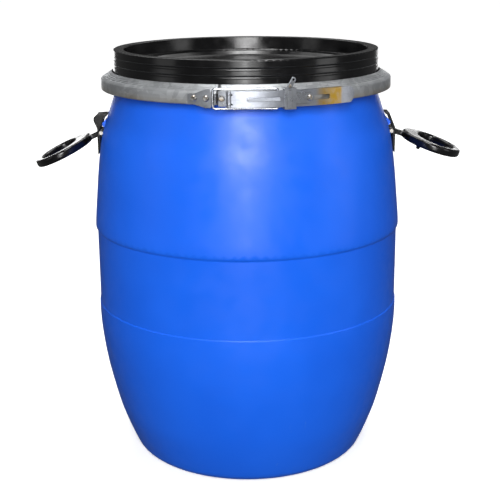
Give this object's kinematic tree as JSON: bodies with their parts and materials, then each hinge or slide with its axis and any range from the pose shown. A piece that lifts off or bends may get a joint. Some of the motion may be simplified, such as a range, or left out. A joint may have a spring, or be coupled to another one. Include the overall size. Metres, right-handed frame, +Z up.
{
  "type": "plastic open head drum",
  "caption": "Round blue plastic drum with a lift-off black lid, a steel clamp ring with a lever latch, and a swinging loop handle on each side.",
  "frame": {"origin": "centre of the foot ring, on the surface the drum stands on", "axes": "+Z up along the drum's axis, +X through the right-hand handle, -Y through the latch on the front"},
  "size_m": [0.5498, 0.3964, 0.5326],
  "materials": {
    "blue_plastic": "satin blow-moulded polyethylene",
    "black_plastic": "semi-gloss moulded polyethylene",
    "handle_plastic": "glossy moulded plastic",
    "gasket_foam": "foam rubber",
    "galvanised_band": "galvanised sheet",
    "zinc_steel": "bright zinc plated",
    "lever_steel": "bright zinc plated, yellowed towards its free end",
    "wire_steel": "bright zinc plated wire",
    "rivet_steel": "plain steel",
    "pin_steel": "plain steel"
  },
  "bodies": {
    "drum": {"drum_body": "blue_plastic", "handle_bracket_left": "black_plastic", "handle_bracket_right": "black_plastic", "handle_pin_left": "pin_steel", "handle_pin_right": "pin_steel"},
    "lid": {"lid": "black_plastic", "lid_gasket": "gasket_foam"},
    "ring": {"clamp_ring": "galvanised_band", "hook_bracket": "zinc_steel", "hook_bracket_rivets": "rivet_steel", "hinge_bracket": "zinc_steel", "hinge_bracket_rivets": "rivet_steel", "lever_pin": "rivet_steel"},
    "lever": {"latch_lever": "lever_steel"},
    "bail": {"wire_bail": "wire_steel"},
    "catch": {"safety_catch": "zinc_steel", "catch_rivet": "rivet_steel", "seal_tab_rivet": "rivet_steel"},
    "seal": {"seal_tab": "zinc_steel"},
    "handle_left": {"handle_left": "handle_plastic"},
    "handle_right": {"handle_right": "handle_plastic"}
  },
  "joints": [
    {"name": "ring_lift", "type": "slide", "parent": "drum", "child": "ring", "axis": [0, 0, 1], "range_m": [0, 0.15], "deforming": ["clamp_ring"]},
    {"name": "lid_lift", "type": "slide", "parent": "drum", "child": "lid", "axis": [0, 0, 1], "range_m": [0, 0.15]},
    {"name": "lever_swing", "type": "hinge", "parent": "ring", "child": "lever", "pos_m": [-0.019, -0.18838, 0.4915], "axis": [0, 0, -1], "range_deg": [0, 130]},
    {"name": "bail_swing", "type": "hinge", "parent": "lever", "child": "bail", "pos_m": [0.0354, -0.18464, 0.4915], "axis": [0, 0, -1], "range_deg": [-130, 0]},
    {"name": "catch_slide", "type": "hinge", "parent": "lever", "child": "catch", "pos_m": [0, 0, 0.4915], "axis": [0, 0, 1], "range_deg": [0, 7.3]},
    {"name": "seal_swing", "type": "hinge", "parent": "catch", "child": "seal", "pos_m": [0.0485, -0.18588, 0.50595], "axis": [0.2525, -0.9676, 0], "range_deg": [-45, 30]},
    {"name": "handle_left_swing", "type": "hinge", "parent": "drum", "child": "handle_left", "pos_m": [-0.1868, 0, 0.4255], "axis": [0, 1, 0], "range_deg": [-31, 63]},
    {"name": "handle_right_swing", "type": "hinge", "parent": "drum", "child": "handle_right", "pos_m": [0.1868, 0, 0.4255], "axis": [0, -1, 0], "range_deg": [-37, 57]}
  ],
  "couplings": [
    {"joint": "bail_swing", "follows": "lever_swing", "ratio": -1}
  ]
}
